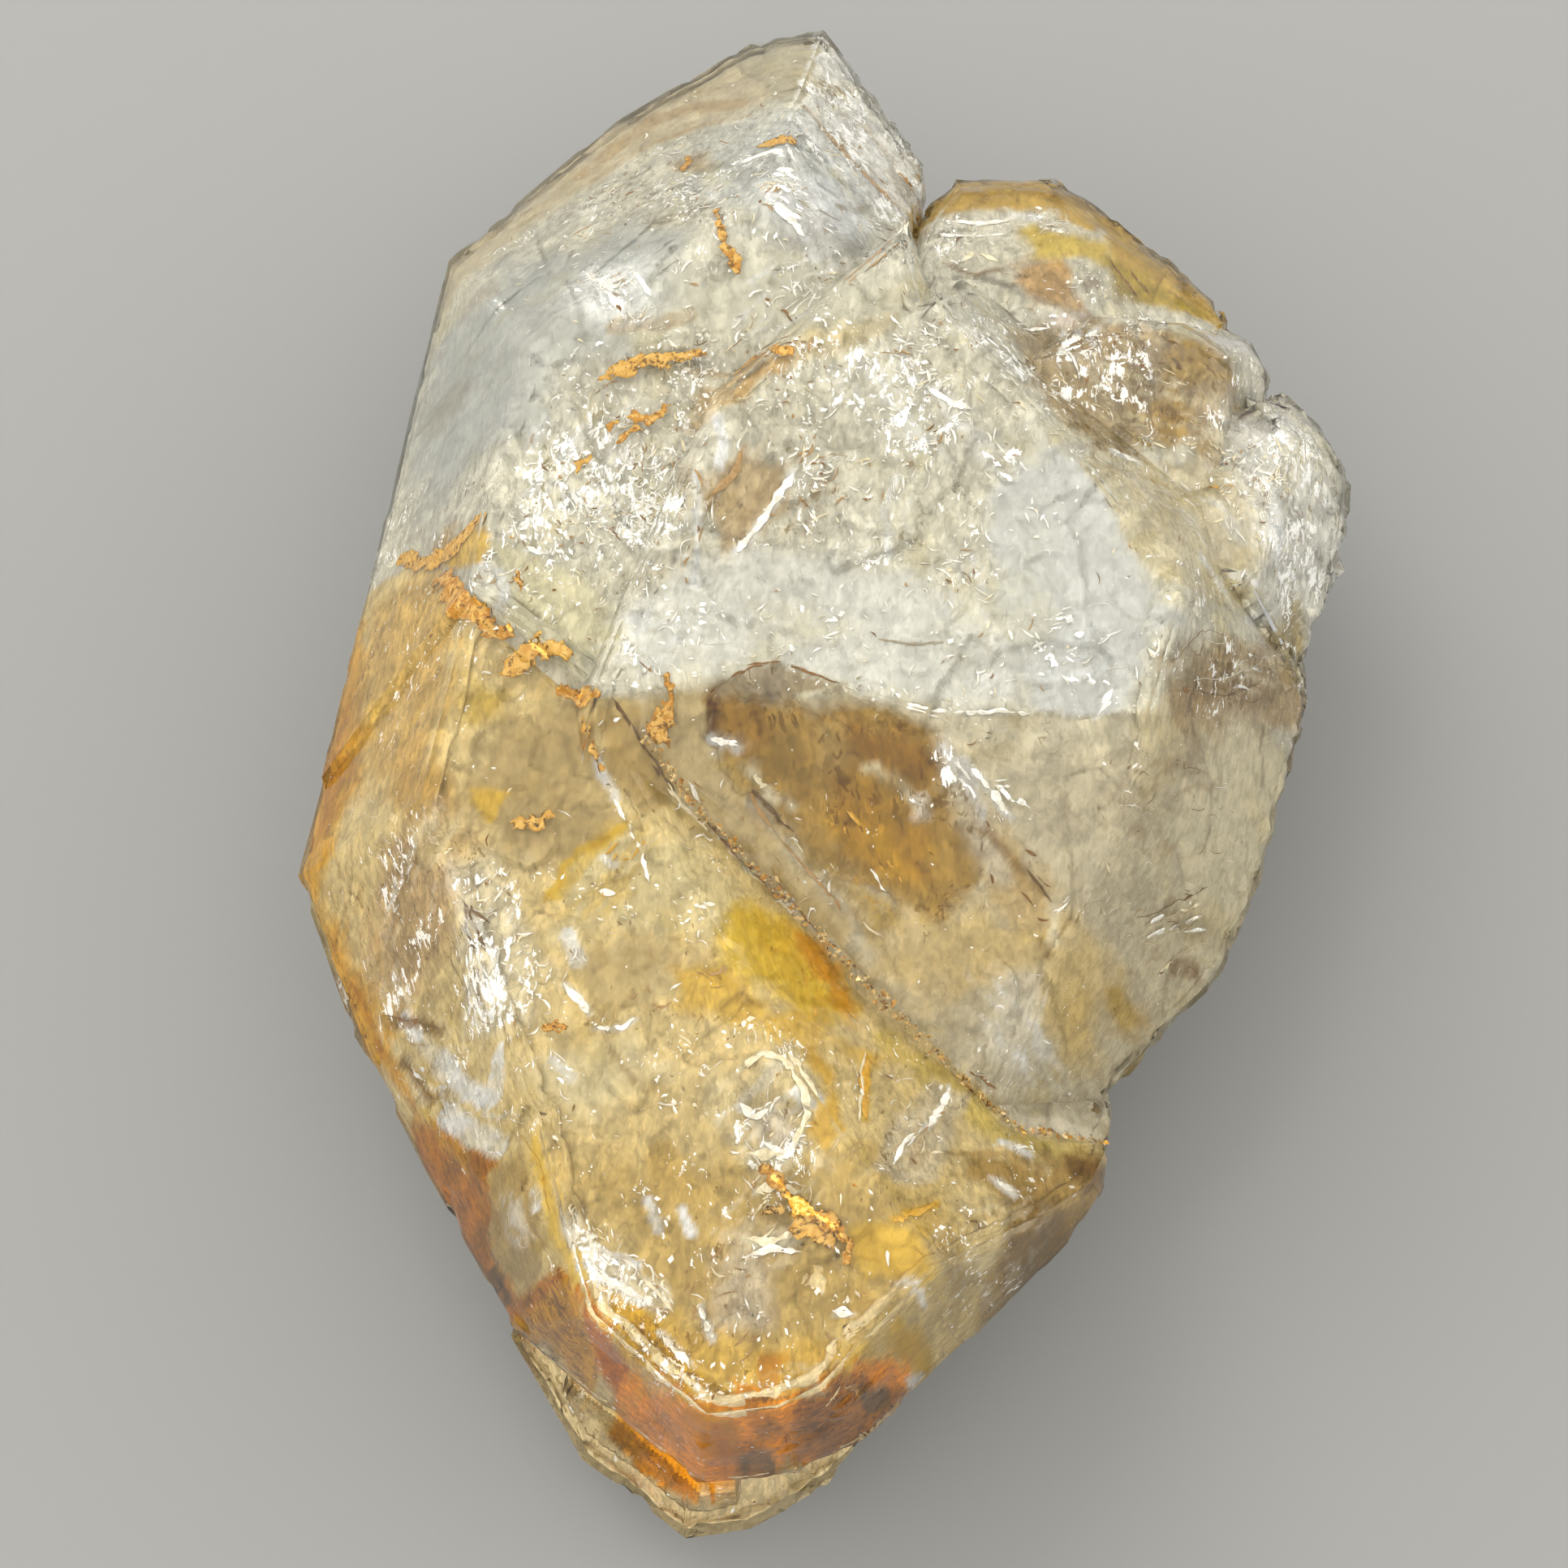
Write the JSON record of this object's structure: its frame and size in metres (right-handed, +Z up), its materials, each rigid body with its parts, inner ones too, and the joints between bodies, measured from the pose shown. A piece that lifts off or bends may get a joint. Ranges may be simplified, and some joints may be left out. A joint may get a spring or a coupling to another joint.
{
  "type": "quartz crystal cluster",
  "caption": "Clear to honey coloured quartz cluster of short, doubly pointed crystals grown into one another, lying on a flat prism face as a display or study piece.",
  "frame": {"origin": "centre of the bounding box in plan, on the surface that the cluster lies on", "axes": "+Z up from the resting face, +Y along the long axis towards the pale pointed end, +X towards the side lobes"},
  "size_m": [0.0558, 0.083, 0.0266],
  "materials": {
    "quartz": "clear vitreous quartz, milky with healed fractures at the far end, honey to amber with iron stain at the near end",
    "iron_clay": "dull ochre clay and iron oxide sealed in cracks of the quartz",
    "healed_fracture": "milky and silvery sheets inside the quartz"
  },
  "bodies": {
    "root": {"quartz_crystal": "quartz"}
  },
  "joints": []
}
